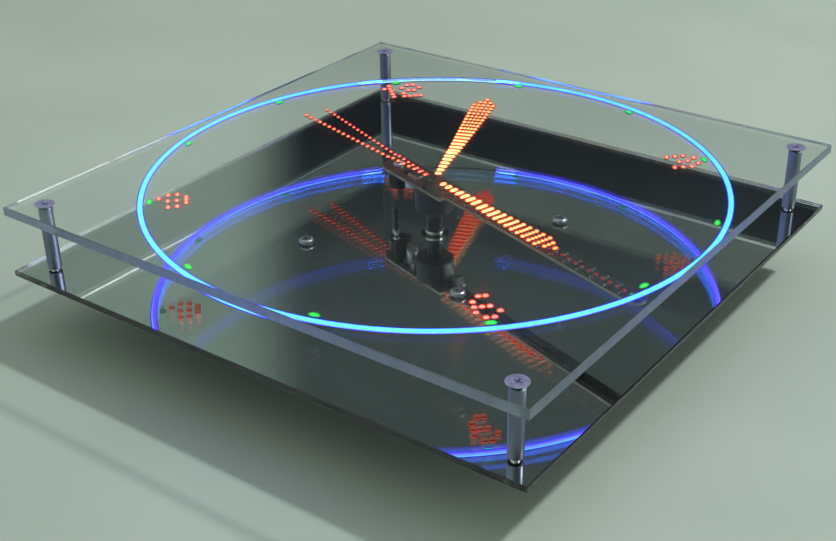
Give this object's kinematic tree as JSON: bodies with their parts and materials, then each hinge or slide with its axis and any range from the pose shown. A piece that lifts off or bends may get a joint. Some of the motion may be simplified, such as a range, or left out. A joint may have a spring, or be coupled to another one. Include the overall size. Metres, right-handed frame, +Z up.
{
  "type": "propeller clock",
  "caption": "Desk propeller clock: a bar of lamps on a motor spindle spins between a glossy dark base plate and a clear cover plate on corner posts, so that its flashes draw a dial.",
  "frame": {"origin": "on the table under the spindle axis, at the underside of the rubber feet", "axes": "+Z up along the spindle axis, X and Y along the sides of the square plates, power inlet on the +Y side of the housing"},
  "size_m": [0.3, 0.3, 0.072],
  "materials": {
    "dark_acrylic": "mirror gloss",
    "clear_acrylic": "clear, polished faces and bright bevels",
    "polished_post": "polished",
    "screw_steel": "bright zinc",
    "bush_metal": "turned",
    "black_plastic": "fine grain",
    "foot_rubber": "matte",
    "sheet_aluminium": "mill",
    "motor_steel": "plated",
    "dark_metal": "blackened",
    "brass": "turned",
    "spring_bronze": "rolled",
    "magnet": "ground",
    "armature_iron": "varnished",
    "white_plastic": "moulded",
    "brown_plastic": "pressed laminate",
    "green_board": "solder mask",
    "black_board": "solder mask",
    "chip_plastic": "moulded",
    "capacitor_sleeve": "shrink sleeve",
    "lead_insulation": "extruded",
    "red_lens": "lens",
    "green_lens": "lens",
    "blue_lens": "lens"
  },
  "bodies": {
    "frame": {"base_plate": "dark_acrylic", "cover_plate": "clear_acrylic", "post_front": "polished_post", "post_right": "polished_post", "post_back": "polished_post", "post_left": "polished_post", "cover_screws": "screw_steel", "post_screws": "screw_steel", "housing": "black_plastic", "housing_screws": "screw_steel", "bottom_lid": "black_plastic", "lid_screws": "screw_steel", "foot_front": "foot_rubber", "foot_right": "foot_rubber", "foot_back": "foot_rubber", "foot_left": "foot_rubber", "spindle_bush": "bush_metal", "index_pin": "screw_steel", "index_nut": "screw_steel", "motor_plate": "sheet_aluminium", "motor_plate_screws": "screw_steel", "motor_screws": "screw_steel", "motor_can": "motor_steel", "motor_bearing": "brass", "motor_magnets": "magnet", "motor_end_cap": "white_plastic", "motor_terminals": "brass", "brush_holder": "brown_plastic", "brush_holder_screws": "screw_steel", "brushes": "spring_bronze", "control_board": "green_board", "control_board_screws": "screw_steel", "drive_transistor": "chip_plastic", "control_chip": "chip_plastic", "filter_capacitor": "capacitor_sleeve", "power_inlet": "black_plastic", "motor_leads": "lead_insulation", "brush_leads": "lead_insulation"},
    "rotor": {"motor_shaft": "motor_steel", "motor_armature": "armature_iron", "motor_commutator": "spring_bronze", "spindle": "dark_metal", "slip_rings": "brass", "rotor_hub": "black_plastic", "hub_set_screw": "screw_steel", "rotor_board": "black_board", "board_screws": "screw_steel", "red_lamps": "red_lens", "green_lamp": "green_lens", "blue_lamp": "blue_lens", "lamp_resistors": "chip_plastic", "lamp_drivers": "chip_plastic", "microcontroller": "chip_plastic", "rotor_regulator": "chip_plastic", "clock_crystal": "motor_steel", "rotor_capacitor": "sheet_aluminium", "sync_sensor": "chip_plastic", "rotor_leads": "lead_insulation", "counterweight": "dark_metal", "counterweight_screw": "screw_steel"}
  },
  "joints": [
    {"name": "rotor_spin", "type": "hinge", "parent": "frame", "child": "rotor", "pos_m": [0, 0, 0.0495], "axis": [0, 0, 1], "continuous": true}
  ]
}
